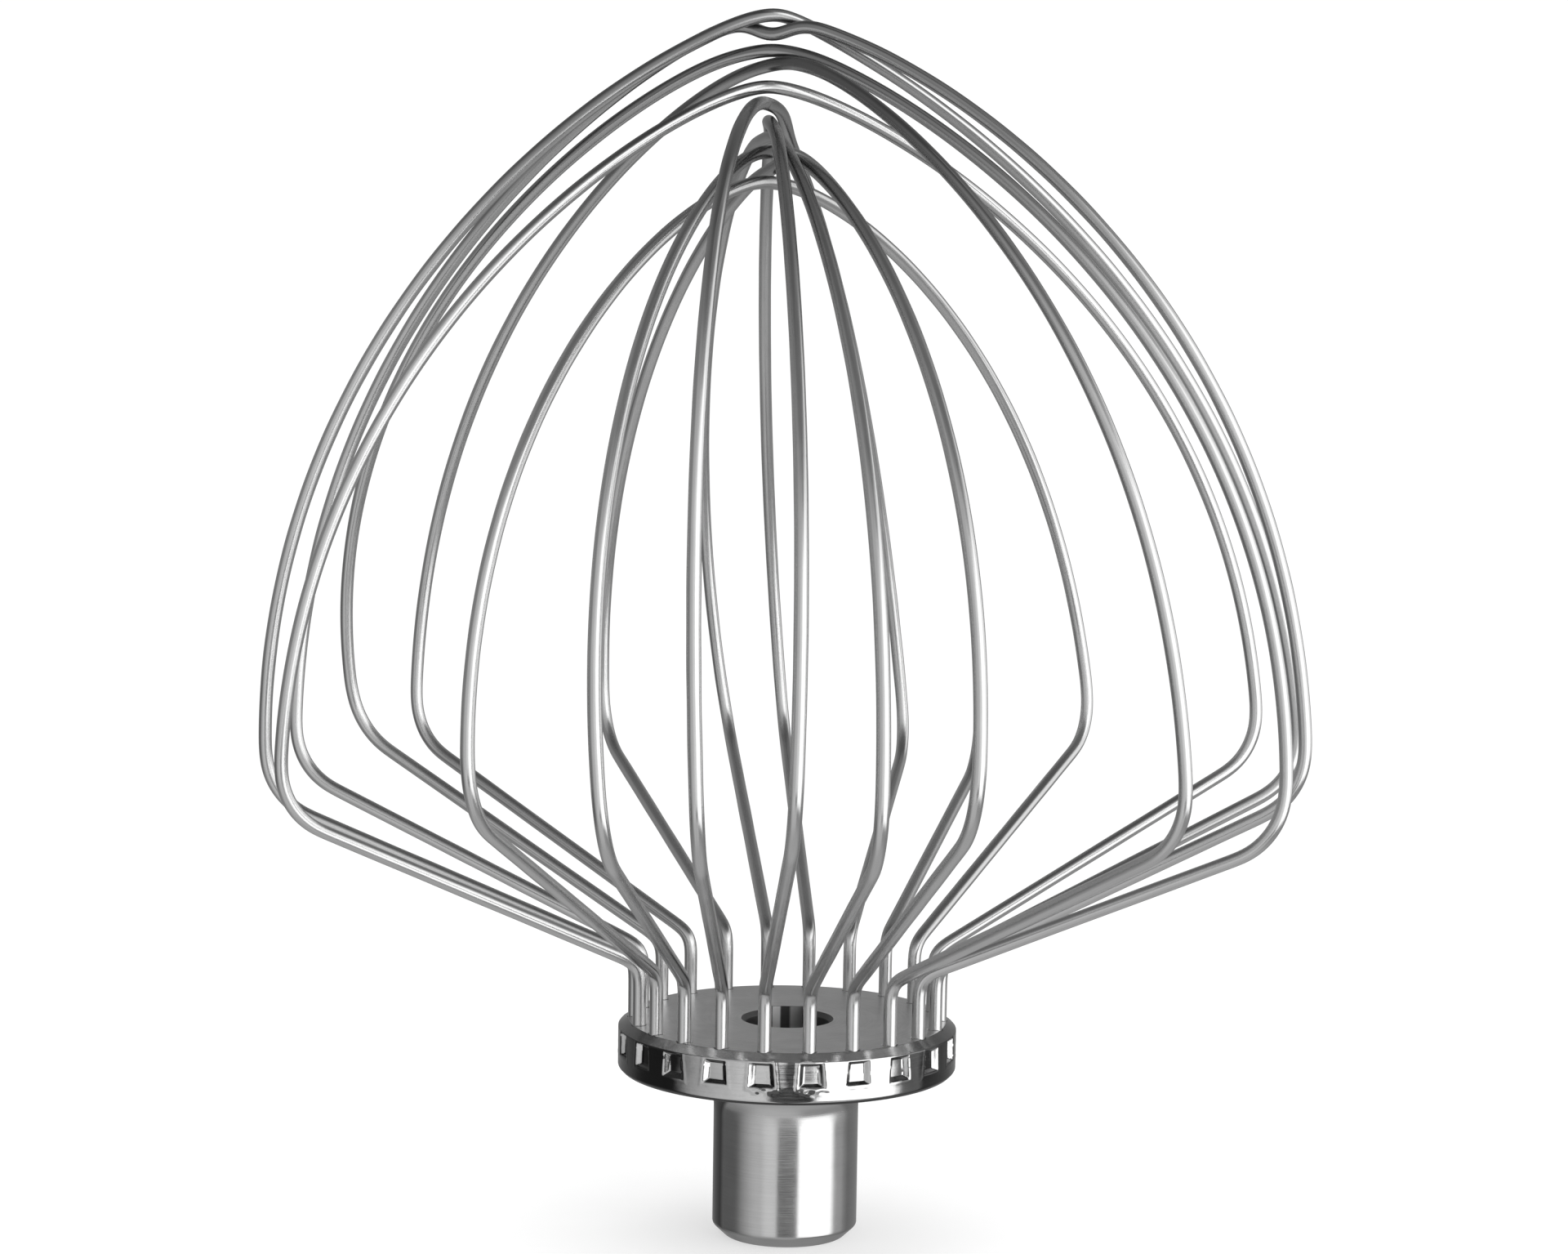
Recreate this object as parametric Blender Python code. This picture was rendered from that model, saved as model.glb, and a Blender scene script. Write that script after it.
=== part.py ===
"""Wire whip for a stand mixer: eleven one-piece wire loops, a round flange that
holds their legs, and a tubular hub that slides over the mixer's output shaft.

Sizes are in millimetres and angles in degrees; the objects are built in metres,
+Z up along the hub. The origin is the centre of the hub's open bottom end face.
The whip stands on that face with its wires up. Azimuth is measured from -Y
towards +X.
"""

from itertools import combinations

import bpy
import numpy as np

MM = 0.001
DEG = np.pi / 180

PART_GAP = 0.3          # clearance between parts that fit together
CUT_PAST = 2.0          # how far a cutter runs past the end face it opens
ROUND_STEPS = 72

# --- wire and cage -----------------------------------------------------------
WIRE_R = 1.0
WIRE_SIDES = 8
LEG_BOTTOM_Z = 27.6     # foot of a leg inside its socket
LEG_TOP_Z = 42.4        # height of the first bend, above the disc
LEG_BEND_R = 3.0
SHOULDER_BEND_R = 10.5
BEND_STEPS = 9
BEND_MAX_SHARE = 0.9    # most of a straight side that a bend may use up
SHOULDER_Z = 69.2       # height where the flared leg meets the arch
SHOULDER_R = 78.5       # and its distance from the cage axis
LEG_TWIST_FALL = 62.2   # height over which a leg swings into its loop's plane
CAGE_PIVOT_Z = 42.0     # the arches lean a little about this point
CAGE_LEAN_X = -1.88     # towards +X
CAGE_LEAN_Y = 2.19      # towards +Y
DIP_WIDTH = 2.7         # half length of the dip in a crest that is pressed down

# Each half of an arch is a cubic Bezier curve from the shoulder to the crest.
ARCH_STEPS = 90
ARCH_LEAN = 2.1         # its first handle lies this far outside the shoulder
ARCH_BELLY = 0.66       # and at this share of the arch height
ARCH_RISE_Z = 8.0       # the arch's first direction is taken over this height
ARCH_RISE_LENGTH = 40.0 # length of the straight that stands in for it at the bend
ARCH_JOIN_GAP = 0.5     # least distance from the shoulder bend to the next arch point

# One row for each loop, in the order of their holes:
#   hole    azimuth of the hole of its near leg; the far leg is opposite
#   plane   azimuth of the arch near the crest
#   crest   height of the crest
#   shift   how far the crest sits off the axis, along the arch
#   foot_a, foot_b    azimuth of each shoulder (the second is 180 further on)
#   blunt_a, blunt_b  reach of the crest's handle on each side, as a share of the shoulder radius
#   lift_a, lift_b    height of each shoulder above SHOULDER_Z
#   out_a, out_b      distance of each shoulder outside SHOULDER_R
#   bow     how far each half of the arch turns sideways from the plane, in opposite senses
#   dip     how far the loop above presses the crest down
LOOPS = (
    # hole  plane  crest shift foot_a foot_b blunt_a, _b  lift_a, _b  out_a, _b   bow  dip
    (-8.18,   3.8, 168.0, -1.0,   1.1,   0.3, 0.23, 0.29,  1.7, -0.1, 0.0,  0.0,  0.4, 0.0),
    (8.18,   13.1, 166.7, -3.6,   9.4,   7.2, 0.24, 0.35, -1.2,  0.4, 0.0,  0.0, -0.9, 0.0),
    (24.55,  23.6, 162.8,  5.9,  19.0,  23.0, 0.20, 0.25,  2.1,  0.3, 0.0,  0.0, -0.3, 0.0),
    (40.91,  46.3, 177.4,  2.6,  44.8,  50.4, 0.17, 0.24, -2.6,  3.1, 0.0,  0.0, -1.8, 0.0),
    (57.27,  73.9, 179.4, -0.6,  65.4,  60.8, 0.16, 0.19, -5.9,  5.4, 0.0,  0.0,  1.2, 0.0),
    (73.64,  75.8, 183.8, -2.1,  75.3,  76.2, 0.25, 0.15, -0.9,  1.3, 0.2,  0.0,  2.5, 2.8),
    (90.0,   98.9, 183.8,  0.8,  93.5,  89.7, 0.09, 0.20, -1.1, -1.0, 0.0, -0.2,  1.3, 0.0),
    (-73.64, -64.9, 173.6, 0.6, -67.2, -71.3, 0.17, 0.18,  0.4,  0.6, 0.0,  0.0,  3.4, 0.0),
    (-57.27, -34.7, 159.4, 2.0, -32.5, -40.1, 0.27, 0.30,  3.8,  0.9, 0.0,  0.0,  1.0, 0.0),
    (-40.91, -23.6, 164.6, -2.0, -17.6, -24.5, 0.36, 0.25, -0.5, -4.9, 0.0, 0.0,  2.3, 0.0),
    (-24.55, -10.2, 170.7, 7.6,  -8.2, -14.9, 0.47, 0.25, -0.4, -2.4, 0.0,  0.0,  1.4, 0.0),
)

# Making room where loops cross
CROSSING_GAP = 2.3      # least distance between two wire centre lines
CROSSING_SLACK = 0.02   # shortfall of that gap that is let pass
CROSSING_SOFT = 5.0     # length of wire that bends to make that room
CROSSING_MIN_Z = 120.0  # crossings are looked for above this height
CROSSING_TOUCH = 0.3    # closer than this, the wires part straight up and down
CROSSING_PUSH = 0.3     # share of the shortfall each wire moves in one round
CROSSING_ROUNDS = 60

# Spacing of points on the centre lines
LINE_POINTS = 500       # while the loops make room
THIN_TURN = 8.5         # then a point after each turn of this much
THIN_LONGEST = 10.0     # or after this length

# --- hub ---------------------------------------------------------------------
HUB_R = 11.0
BORE_R = 6.35
BORE_EDGE = 0.7         # chamfer at the open ends of the bore
HUB_END_R = 9.2
HUB_END_CHAMFER_Z = 1.7
FLARE_START_Z = 19.9    # the sleeve curves outwards from here
FLARE_R = 5.0
FLARE_ANGLE = 65.0
FLARE_POINTS = 6
COLLAR_R = 14.0
COLLAR_RISE_Z = 0.12    # rise from the end of the flare to the collar's rim
COLLAR_TOP_Z = 25.35
SPIGOT_R = 9.6
SPIGOT_TOP_Z = 29.7
KEYWAY_WIDTH = 4.8
KEYWAY_R = 8.5
LOCK_Z = (11.5, 16.7)   # side pocket where the mixer's pin turns and locks
LOCK_ANGLE = 70.0       # it runs this far from +Y towards +X
LOCK_POINTS = 9

# --- flange ------------------------------------------------------------------
DISC_TOP_Z = 33.25
DISC_BOTTOM_Z = COLLAR_TOP_Z + PART_GAP
DISC_R = 25.65
DISC_FLAT_R = 24.1      # the top edge is chamfered from here
DISC_CHAMFER_Z = 32.1
DISC_BEVEL = 0.55
SEAT_R = SPIGOT_R + PART_GAP  # counterbore that takes the hub's spigot
SEAT_TOP_Z = SPIGOT_TOP_Z + PART_GAP
HOLE_COUNT = 2 * len(LOOPS)
HOLE_CIRCLE_R = 23.2
HOLE_AZIMUTHS = [360 * (k + 0.5) / HOLE_COUNT for k in range(HOLE_COUNT)]
SOCKET_R = WIRE_R + PART_GAP
SOCKET_BOTTOM_Z = LEG_BOTTOM_Z - PART_GAP
SOCKET_SIDES = 12
STAKE_WIDTH = 3.7       # mouth of the punched stake mark on the rim
STAKE_FLOOR_WIDTH = 2.3
STAKE_TOP_SHARE = 0.92  # width of its top edge as a share of its bottom edge
STAKE_DEPTH = 0.85
STAKE_TOP_Z = 31.95
STAKE_BOTTOM_Z = 28.3
STAKE_SLOPE_Z = 0.55    # its floor is this much shorter at each end
STAKE_PAST = 1.0        # how far its cutter reaches outside the rim


# --- geometry helpers --------------------------------------------------------
def unit(vector):
    return vector / np.linalg.norm(vector)


def polar(radius, azimuth, z):
    return np.array([radius * np.sin(azimuth * DEG), -radius * np.cos(azimuth * DEG), z])


def bell(x):
    """A bell curve, 1 at x = 0."""
    return np.exp(-(x ** 2) / 2)


def angle_between(first, second):
    """Angle between two unit vectors, in radians."""
    return np.arccos(np.clip(first @ second, -1, 1))


def stations_along(points):
    """Distance of each point from the start of its line."""
    return np.r_[0, np.cumsum(np.linalg.norm(np.diff(points, axis=0), axis=1))]


def bend(before, corner, after, radius):
    """Points of the arc of this radius that rounds the corner."""
    back, ahead = before - corner, after - corner
    back_length, ahead_length = np.linalg.norm(back), np.linalg.norm(ahead)
    back, ahead = back / back_length, ahead / ahead_length
    half = angle_between(back, ahead) / 2
    reach = min(
        radius / np.tan(half),
        BEND_MAX_SHARE * back_length,
        BEND_MAX_SHARE * ahead_length,
    )
    radius = reach * np.tan(half)
    centre = corner + unit(back + ahead) * radius / np.sin(half)
    first = (corner + back * reach - centre) / radius
    last = (corner + ahead * reach - centre) / radius
    turn = angle_between(first, last)
    share = np.linspace(0, 1, BEND_STEPS)[:, None]
    blend = np.sin((1 - share) * turn) * first + np.sin(share * turn) * last
    return centre + radius * blend / np.sin(turn)


# --- centre lines of the loops -----------------------------------------------
def cage_lean(points):
    """The arches stand on a cage axis that leans a little off the hub's."""
    sin_x, cos_x = np.sin(CAGE_LEAN_X * DEG), np.cos(CAGE_LEAN_X * DEG)
    sin_y, cos_y = np.sin(CAGE_LEAN_Y * DEG), np.cos(CAGE_LEAN_Y * DEG)
    about_y = np.array([[cos_x, 0, sin_x], [0, 1, 0], [-sin_x, 0, cos_x]])
    about_x = np.array([[1, 0, 0], [0, cos_y, sin_y], [0, -sin_y, cos_y]])
    pivot = np.array([0, 0, CAGE_PIVOT_Z])
    return (points - pivot) @ (about_x @ about_y).T + pivot


def half_loop(hole, plane, crest, shift, foot, blunt, lift, out, dip):
    """Centre line of one leg and its half of the arch, from the socket to the crest."""
    foot_z, foot_r = SHOULDER_Z + lift, SHOULDER_R + out
    height = crest - foot_z
    t = np.linspace(0, 1, ARCH_STEPS)
    w0, w1, w2, w3 = (1 - t) ** 3, 3 * (1 - t) ** 2 * t, 3 * (1 - t) * t * t, t ** 3
    r = w0 * foot_r + w1 * (foot_r + ARCH_LEAN) + w2 * (shift + blunt * foot_r) + w3 * shift
    z = (w1 * ARCH_BELLY + w2 + w3) * height
    azimuth = plane + (foot - plane) * np.exp(-z / LEG_TWIST_FALL)
    z = z - dip * bell(r / DIP_WIDTH)
    x, y = r * np.sin(azimuth * DEG), -r * np.cos(azimuth * DEG)
    arch = cage_lean(np.stack([x, y, z + foot_z], -1))

    shoulder = arch[0]
    rise = unit(arch[np.searchsorted(z, ARCH_RISE_Z)] - shoulder)
    socket = polar(HOLE_CIRCLE_R, hole, LEG_BOTTOM_Z)
    top = polar(HOLE_CIRCLE_R, hole, LEG_TOP_Z)
    lower = bend(socket, top, shoulder, LEG_BEND_R)
    upper = bend(top, shoulder, shoulder + rise * ARCH_RISE_LENGTH, SHOULDER_BEND_R)
    bend_end = np.linalg.norm(upper[-1] - shoulder)
    beyond = np.linalg.norm(arch - shoulder, axis=1) > bend_end + ARCH_JOIN_GAP
    return np.vstack([socket, lower, upper, arch[beyond]])


def evenly(points, count):
    """The same line with this many points, equally spaced."""
    stations = stations_along(points)
    wanted = np.linspace(0, stations[-1], count)
    return np.stack([np.interp(wanted, stations, points[:, axis]) for axis in range(3)], -1)


def centre_lines():
    lines = []
    for (hole, plane, crest, shift, foot_a, foot_b, blunt_a, blunt_b,
         lift_a, lift_b, out_a, out_b, bow, dip) in LOOPS:
        near = half_loop(
            hole, plane + bow, crest, shift, foot_a, blunt_a, lift_a, out_a, dip)
        far = half_loop(
            hole + 180, plane - bow + 180, crest, -shift, foot_b + 180,
            blunt_b, lift_b, out_b, dip)
        lines.append(evenly(np.vstack([near, far[-2::-1]]), LINE_POINTS))
    return lines


def closest_points(a, b):
    """Distance between two lines high in the cage, and the index of the point on each."""
    high_a = np.where(a[:, 2] > CROSSING_MIN_Z)[0]
    high_b = np.where(b[:, 2] > CROSSING_MIN_Z)[0]
    square = ((a[high_a][:, None] - b[high_b][None]) ** 2).sum(2)
    p, q = np.unravel_index(square.argmin(), square.shape)
    return np.sqrt(square[p, q]), high_a[p], high_b[q]


def make_room(lines):
    """Where two wires would press into each other, both bend away over a short length."""
    stationed = [(line, stations_along(line)) for line in lines]
    for _ in range(CROSSING_ROUNDS):
        closest = CROSSING_GAP
        for (a, stations_a), (b, stations_b) in combinations(stationed, 2):
            distance, p, q = closest_points(a, b)
            closest = min(closest, distance)
            if distance >= CROSSING_GAP:
                continue
            if distance < CROSSING_TOUCH:
                away = np.array([0, 0, 1.0 if a[p, 2] >= b[q, 2] else -1.0])
            else:
                away = (a[p] - b[q]) / distance
            push = away * (CROSSING_GAP - distance) * CROSSING_PUSH
            a += push * bell((stations_a - stations_a[p]) / CROSSING_SOFT)[:, None]
            b -= push * bell((stations_b - stations_b[q]) / CROSSING_SOFT)[:, None]
        if closest > CROSSING_GAP - CROSSING_SLACK:
            break
    return lines


def thinned(points):
    """The same line with fewer points, closer together where it turns."""
    kept, turned, run = [0], 0.0, 0.0
    for k in range(1, len(points) - 1):
        before, after = unit(points[k] - points[k - 1]), unit(points[k + 1] - points[k])
        turned += angle_between(before, after) / DEG
        run += np.linalg.norm(points[k] - points[k - 1])
        if turned >= THIN_TURN or run >= THIN_LONGEST:
            kept.append(k)
            turned, run = 0.0, 0.0
    return points[kept + [len(points) - 1]]


# --- materials and meshes ----------------------------------------------------
def steel(name, grey, roughness):
    colour = (grey, grey, grey, 1)
    made = bpy.data.materials.new(name)
    made.use_nodes = True
    shader = made.node_tree.nodes["Principled BSDF"]
    shader.inputs["Base Color"].default_value = colour
    shader.inputs["Metallic"].default_value = 1.0
    shader.inputs["Roughness"].default_value = roughness
    made.diffuse_color = colour
    return made


def add_object(name, points, faces, surface=None):
    """A mesh object from points in millimetres; one with a surface is shaded smooth."""
    mesh = bpy.data.meshes.new(name)
    mesh.from_pydata([tuple(point * MM) for point in points], [], faces)
    mesh.update()
    if surface is not None:
        mesh.polygons.foreach_set("use_smooth", [True] * len(mesh.polygons))
        mesh.materials.append(surface)
    made = bpy.data.objects.new(name, mesh)
    bpy.context.scene.collection.objects.link(made)
    return made


def ring(name, profile, surface):
    """A closed profile of (r, z), anticlockwise with r to the right and z up,
    turned round the hub's axis."""
    count = len(profile)
    points = [polar(r, 360 * k / ROUND_STEPS, z) for k in range(ROUND_STEPS) for r, z in profile]
    faces = []
    for k in range(ROUND_STEPS):
        here, ahead = k * count, (k + 1) % ROUND_STEPS * count
        for i in range(count):
            j = (i + 1) % count
            faces.append((here + i, ahead + i, ahead + j, here + j))
    return add_object(name, points, faces, surface)


def tube_faces(sides, sections=2, start=0):
    """Faces of a closed tube whose points run section by section from index start."""
    last = start + (sections - 1) * sides
    faces = [tuple(reversed(range(start, start + sides)))]
    for first in range(start, last, sides):
        for i in range(sides):
            j = (i + 1) % sides
            faces.append((first + i, first + j, first + sides + j, first + sides + i))
    faces.append(tuple(range(last, last + sides)))
    return faces


# --- wires -------------------------------------------------------------------
def build_wire(name, line):
    """A round wire swept along the line without twist, with flat ends."""
    step = np.gradient(line, axis=0)
    tangents = step / np.linalg.norm(step, axis=1)[:, None]
    tangents[0], tangents[-1] = unit(line[1] - line[0]), unit(line[-1] - line[-2])
    # The fixed vector sets how the facets are turned; it is never along a leg.
    side = unit(np.cross(tangents[0], [0.3, 1.0, 0.2]))
    points = []
    for centre, tangent in zip(line, tangents):
        side = unit(side - tangent * (side @ tangent))
        other = np.cross(tangent, side)
        for s in range(WIRE_SIDES):
            angle = 2 * np.pi * s / WIRE_SIDES
            points.append(centre + WIRE_R * (np.cos(angle) * side + np.sin(angle) * other))
    surface = steel(name, grey=0.62, roughness=0.2)
    return add_object(name, points, tube_faces(WIRE_SIDES, len(line)), surface)


# --- cutters -----------------------------------------------------------------
def prism(name, outline, low, high):
    """An outline of (x, y), anticlockwise seen from above, between two heights."""
    points = [np.array([x, y, z]) for z in (low, high) for x, y in outline]
    return add_object(name, points, tube_faces(len(outline)))


def keyway(name, low, high):
    """A slot from the axis towards +Y."""
    half = KEYWAY_WIDTH / 2
    return prism(name, [(-half, 0), (half, 0), (half, KEYWAY_R), (-half, KEYWAY_R)], low, high)


def socket_cutters():
    """The leg sockets as one cutter of upright cylinders."""
    points, faces = [], []
    for azimuth in HOLE_AZIMUTHS:
        faces += tube_faces(SOCKET_SIDES, start=len(points))
        centre = polar(HOLE_CIRCLE_R, azimuth, 0)
        for z in (SOCKET_BOTTOM_Z, DISC_TOP_Z + CUT_PAST):
            for s in range(SOCKET_SIDES):
                angle = 2 * np.pi * (s + 0.5) / SOCKET_SIDES
                points.append(
                    centre + [SOCKET_R * np.cos(angle), SOCKET_R * np.sin(angle), z])
    return add_object("sockets", points, faces)


def stake_cutters():
    """The punched marks on the rim as one cutter of tapered blocks."""
    points, faces = [], []
    for azimuth in HOLE_AZIMUTHS:
        faces += tube_faces(4, start=len(points))
        out, across = polar(1, azimuth, 0), polar(1, azimuth + 90, 0)
        # Share of the depth: 1 at the floor, 0 at the rim, negative outside it.
        for share in (1.0, -STAKE_PAST / STAKE_DEPTH):
            half = (STAKE_WIDTH - (STAKE_WIDTH - STAKE_FLOOR_WIDTH) * share) / 2
            top_half = half * STAKE_TOP_SHARE
            low = STAKE_BOTTOM_Z + STAKE_SLOPE_Z * share
            high = STAKE_TOP_Z - STAKE_SLOPE_Z * share
            face_centre = out * (DISC_R - STAKE_DEPTH * share)
            for sideways, z in ((-half, low), (half, low), (top_half, high), (-top_half, high)):
                points.append(face_centre + across * sideways + [0, 0, z])
    return add_object("stakes", points, faces)


def cut(target, cutter):
    cutter.hide_render = True
    cutter.display_type = "WIRE"
    modifier = target.modifiers.new("cut_" + cutter.name, "BOOLEAN")
    modifier.operation = "DIFFERENCE"
    modifier.solver = "EXACT"
    modifier.object = cutter


# --- flange and hub ----------------------------------------------------------
def build_flange():
    disc = ring("holder_flange", [
        (BORE_R + BORE_EDGE, DISC_TOP_Z),
        (BORE_R, DISC_TOP_Z - BORE_EDGE),
        (BORE_R, SEAT_TOP_Z),
        (SEAT_R, SEAT_TOP_Z),
        (SEAT_R, DISC_BOTTOM_Z),
        (DISC_R - DISC_BEVEL, DISC_BOTTOM_Z),
        (DISC_R, DISC_BOTTOM_Z + DISC_BEVEL),
        (DISC_R, DISC_CHAMFER_Z),
        (DISC_FLAT_R, DISC_TOP_Z),
    ], steel("holder_flange", grey=0.50, roughness=0.3))
    cut(disc, socket_cutters())
    cut(disc, stake_cutters())
    cut(disc, keyway("disc_keyway", SEAT_TOP_Z - CUT_PAST, DISC_TOP_Z + CUT_PAST))


def build_hub():
    flare = [
        (HUB_R + FLARE_R - FLARE_R * np.cos(angle), FLARE_START_Z + FLARE_R * np.sin(angle))
        for angle in np.linspace(0, FLARE_ANGLE, FLARE_POINTS) * DEG
    ]
    hub = ring("hub_sleeve", [
        (BORE_R + BORE_EDGE, 0.0),
        (HUB_END_R, 0.0),
        (HUB_R, HUB_END_CHAMFER_Z),
        *flare,
        (COLLAR_R, flare[-1][1] + COLLAR_RISE_Z),
        (COLLAR_R, COLLAR_TOP_Z),
        (SPIGOT_R, COLLAR_TOP_Z),
        (SPIGOT_R, SPIGOT_TOP_Z),
        (BORE_R, SPIGOT_TOP_Z),
        (BORE_R, BORE_EDGE),
    ], steel("hub_sleeve", grey=0.66, roughness=0.25))
    cut(hub, keyway("hub_keyway", -CUT_PAST, SPIGOT_TOP_Z + CUT_PAST))
    pocket = [(0.0, 0.0)] + [
        (KEYWAY_R * np.sin(angle), KEYWAY_R * np.cos(angle))
        for angle in np.linspace(LOCK_ANGLE, 0, LOCK_POINTS) * DEG
    ]
    cut(hub, prism("lock_pocket", pocket, *LOCK_Z))


def main():
    for old in list(bpy.data.objects):
        bpy.data.objects.remove(old)
    for number, line in enumerate(make_room(centre_lines()), start=1):
        build_wire(f"wire_loop_{number:02}", thinned(line))
    build_flange()
    build_hub()


main()
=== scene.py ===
"""Looks for the mixer wire whip: polished wire loops, a staked flange and a turned hub.

The hub stands on z = 0 with its axis along +Z, and the cage of loops rises above it.
The camera is on the -Y side. Azimuth is measured from -Y towards +X.
Shape code is in millimetres. Blender, and so the materials, work in metres.
"""

from functools import reduce
import bpy
import numpy as np
from mathutils import Matrix


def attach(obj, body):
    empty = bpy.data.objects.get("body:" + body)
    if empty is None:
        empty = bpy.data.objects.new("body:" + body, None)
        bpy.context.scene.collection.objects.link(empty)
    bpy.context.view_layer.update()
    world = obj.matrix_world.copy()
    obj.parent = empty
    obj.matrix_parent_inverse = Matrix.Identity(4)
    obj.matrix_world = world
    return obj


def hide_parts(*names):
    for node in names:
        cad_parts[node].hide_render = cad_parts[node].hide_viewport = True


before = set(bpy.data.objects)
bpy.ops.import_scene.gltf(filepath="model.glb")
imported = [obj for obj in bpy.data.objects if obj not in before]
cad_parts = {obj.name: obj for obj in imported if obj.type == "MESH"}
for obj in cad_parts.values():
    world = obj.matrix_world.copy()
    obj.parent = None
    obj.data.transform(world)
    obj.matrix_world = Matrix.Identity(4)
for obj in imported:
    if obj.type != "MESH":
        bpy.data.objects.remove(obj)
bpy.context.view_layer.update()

MM = 0.001
DEG = np.pi / 180

# --- wire and cage ----------------------------------------------------------------
WIRE_R = 1.0
WIRE_SIDES = 20
WIRE_END_RINGS = ((0.12, 0.9), (0.2, 0.7))  # distance past the end, radius
HOLE_CIRCLE_R = 23.2
HOLE_COUNT = 22
LEG_BOTTOM_Z = 27.6
LEG_TOP_Z = 42.4
LEG_BEND_R = 3.0
SHOULDER_BEND_R = 10.5
SHOULDER_Z = 69.2
SHOULDER_R = 78.5
SHOULDER_RISE = 8.0  # height over which the arch's direction at the shoulder is taken
ARCH_LEAN = 2.1  # outward shift of the arch's second control point
ARCH_BELLY = 0.66  # height of that point, as a share of the arch
LEG_TWIST_FALL = 62.2  # height over which a foot's turn from the loop's plane fades
CAGE_PIVOT_Z = 42.0
CAGE_LEAN_ABOUT_Y = -1.88
CAGE_LEAN_ABOUT_X = 2.19
CROSSING_LOW_Z = 120  # wires are kept apart above this height
CROSSING_GAP = 2.3
CROSSING_SOFT = 5.0  # length of wire that gives way at a crossing
CROSSING_ROUNDS = 60
CROSSING_PUSH = 0.3  # share of the missing gap that each wire moves
DIP_WIDTH = 2.7
ROUGH_POINTS = 500
LINE_POINTS = 700
LINE_BLUR = 1.0

# One row per loop, lengths in mm and angles in degrees: azimuth of its first hole,
# azimuth of its plane, crest height, sideways shift of the crest, bow (turn between its
# two halves) and dip at the crest. Then, for the first half and the opposite half:
# foot azimuth, bluntness of the arch, shoulder lift and shoulder outward shift.
LOOPS = (
    (-8.18, 3.8, 168.0, -1.0, 0.4, 0.0, (1.1, 0.23, 1.7, 0.0), (0.3, 0.29, -0.1, 0.0)),
    (8.18, 13.1, 166.7, -3.6, -0.9, 0.0, (9.4, 0.24, -1.2, 0.0), (7.2, 0.35, 0.4, 0.0)),
    (24.55, 23.6, 162.8, 5.9, -0.3, 0.0, (19.0, 0.20, 2.1, 0.0), (23.0, 0.25, 0.3, 0.0)),
    (40.91, 46.3, 177.4, 2.6, -1.8, 0.0, (44.8, 0.17, -2.6, 0.0), (50.4, 0.24, 3.1, 0.0)),
    (57.27, 73.9, 179.4, -0.6, 1.2, 0.0, (65.4, 0.16, -5.9, 0.0), (60.8, 0.19, 5.4, 0.0)),
    (73.64, 75.8, 183.8, -2.1, 2.5, 2.8, (75.3, 0.25, -0.9, 0.2), (76.2, 0.15, 1.3, 0.0)),
    (90.0, 98.9, 183.8, 0.8, 1.3, 0.0, (93.5, 0.09, -1.1, 0.0), (89.7, 0.20, -1.0, -0.2)),
    (-73.64, -64.9, 173.6, 0.6, 3.4, 0.0, (-67.2, 0.17, 0.4, 0.0), (-71.3, 0.18, 0.6, 0.0)),
    (-57.27, -34.7, 159.4, 2.0, 1.0, 0.0, (-32.5, 0.27, 3.8, 0.0), (-40.1, 0.30, 0.9, 0.0)),
    (-40.91, -23.6, 164.6, -2.0, 2.3, 0.0, (-17.6, 0.36, -0.5, 0.0), (-24.5, 0.25, -4.9, 0.0)),
    (-24.55, -10.2, 170.7, 7.6, 1.4, 0.0, (-8.2, 0.47, -0.4, 0.0), (-14.9, 0.25, -2.4, 0.0)),
)

# --- flange -------------------------------------------------------------------------
DISC_TOP_Z = 33.25
DISC_BOTTOM_Z = 25.65
DISC_R = 25.65
DISC_FLAT_R = 24.1
DISC_CHAMFER_Z = 32.1
DISC_BOTTOM_CHAMFER = 0.55
DISC_COLUMNS = HOLE_COUNT * 44
SEAT_R = 9.65
SEAT_TOP_Z = 29.8
SOCKET_R = WIRE_R + 0.1
SOCKET_MOUTH_R = WIRE_R + 0.26
SOCKET_SIDES = 40
STAKE_TOP_Z = 31.95
STAKE_BOTTOM_Z = 28.3
STAKE_WIDTH = 3.7
STAKE_FLOOR_WIDTH = 2.3
STAKE_DEPTH = 0.85
STAKE_SEED = 5

# --- hub ----------------------------------------------------------------------------
HUB_R = 11.0
HUB_COLUMNS = 240
BORE_R = 6.35
BORE_EDGE = 0.7
HUB_END_R = 9.2
HUB_END_CHAMFER_Z = 1.7
FLARE_START_Z = 19.9
FLARE_R = 5.0
FLARE_ANGLE = 65.0
COLLAR_R = 14.0
COLLAR_TOP_Z = 25.63
SPIGOT_R = 9.6
SPIGOT_TOP_Z = 29.7
KEYWAY_WIDTH = 4.8
KEYWAY_R = 8.5
POCKET_Z = (11.5, 16.7)
POCKET_ANGLE = 70.0
CUT_MARGIN = 2  # how far cutters reach past the faces they open

# --- camera -------------------------------------------------------------------------
CAM_DISTANCE = 600.5
CAM_ELEVATION = 6.67
CAM_ROLL = 0.873
CAM_AIM_Z = 93.0
CAM_SENSOR = 36.0
CAM_LENS = 91.8075
CAM_SHIFT = -0.005885417  # share of the frame's width


def unit(vector):
    return vector / np.linalg.norm(vector)


def polar(radius, azimuth, z):
    return np.array([radius * np.sin(azimuth * DEG), -radius * np.cos(azimuth * DEG), z])


def smoothstep(x):
    x = np.clip(x, 0, 1)
    return x * x * (3 - 2 * x)


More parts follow.
